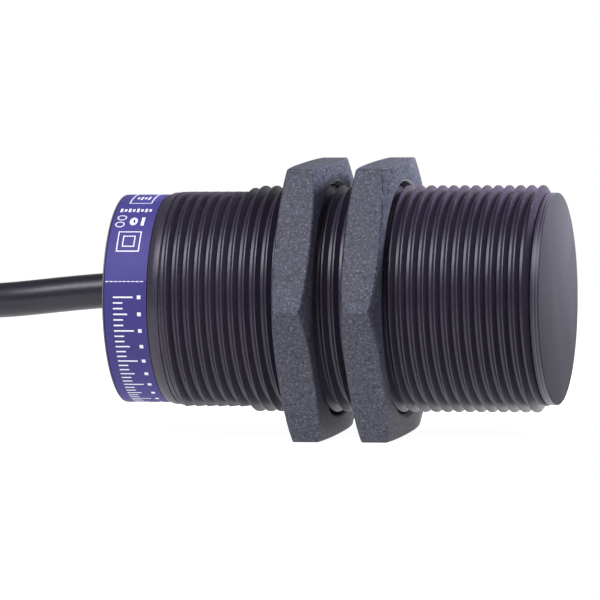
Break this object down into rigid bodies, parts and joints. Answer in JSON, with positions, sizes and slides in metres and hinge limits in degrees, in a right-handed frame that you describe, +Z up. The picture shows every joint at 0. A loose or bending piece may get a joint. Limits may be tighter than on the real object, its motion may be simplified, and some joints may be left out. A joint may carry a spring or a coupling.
{
  "type": "proximity sensor",
  "caption": "Pre-wired M30 inductive proximity sensor: threaded plastic barrel with wrench flats, two hex nuts, label band and 2 m cable tied in a hank.",
  "frame": {"origin": "centre of the flat sensing face at the front end of the barrel", "axes": "+X along the barrel, out of the sensing face; +Z up, square to the nuts' flats; the cable leaves towards -X"},
  "size_m": [0.2114, 0.0455, 0.036],
  "materials": {
    "barrel_plastic": "semi-gloss moulded",
    "face_plastic": "fine matt",
    "nut_plastic": "matt glass-filled, faint speckle",
    "label_film": "printed film",
    "cap_plastic": "satin",
    "cable_jacket": "satin extruded",
    "seal_rubber": "matt",
    "ferrite": "sintered",
    "natural_nylon": "satin",
    "copper": "enamelled wire",
    "brass": "rolled",
    "tinned": "bright",
    "board_resin": "solder mask",
    "chip_epoxy": "moulded",
    "chip_ceramic": "fired",
    "potting_resin": "cast",
    "clear_plastic": "clear moulded",
    "led_plastic": "tinted",
    "wire_brown": "insulation",
    "wire_blue": "insulation",
    "wire_black": "insulation",
    "tie_nylon": "woven hook-and-loop"
  },
  "bodies": {
    "sensor_body": {"threaded_barrel": "barrel_plastic", "front_cap": "face_plastic", "rear_cap": "cap_plastic", "label_sleeve": "label_film", "front_o_ring": "seal_rubber", "rear_o_ring": "seal_rubber", "ferrite_core": "ferrite", "coil_bobbin": "natural_nylon", "coil_winding": "copper", "coil_lead_1": "copper", "coil_lead_2": "copper", "core_holder": "natural_nylon", "shield_ring": "brass", "circuit_board": "board_resin", "sensor_ic": "chip_epoxy", "output_transistor": "chip_epoxy", "status_led": "led_plastic", "smoothing_capacitor": "chip_ceramic", "filter_capacitor": "chip_ceramic", "timing_capacitor": "chip_ceramic", "polarity_diode": "chip_epoxy", "clamp_diode": "chip_epoxy", "resistor_1": "chip_epoxy", "resistor_2": "chip_epoxy", "resistor_3": "chip_epoxy", "resistor_4": "chip_epoxy", "trim_potentiometer": "natural_nylon", "light_guide": "clear_plastic", "potting_plug": "potting_resin", "cable_bushing": "seal_rubber", "cable_jacket_inner": "cable_jacket", "cable_clamp": "brass", "core_wire_brown": "wire_brown", "core_wire_blue": "wire_blue", "core_wire_black": "wire_black", "cable_run": "cable_jacket", "cable_hank": "cable_jacket", "hank_tie": "tie_nylon", "cable_tail": "cable_jacket", "lead_brown": "wire_brown", "lead_blue": "wire_blue", "lead_black": "wire_black", "lead_tip_brown": "tinned", "lead_tip_blue": "tinned", "lead_tip_black": "tinned"},
    "front_nut_body": {"front_nut": "nut_plastic"},
    "rear_nut_body": {"rear_nut": "nut_plastic"}
  },
  "joints": [
    {"name": "front_nut_travel", "type": "slide", "parent": "sensor_body", "child": "front_nut_body", "axis": [1, 0, 0], "range_m": [-0.0021, 0.0175]},
    {"name": "rear_nut_travel", "type": "slide", "parent": "sensor_body", "child": "rear_nut_body", "axis": [1, 0, 0], "range_m": [-0.0155, 0.0021]}
  ]
}
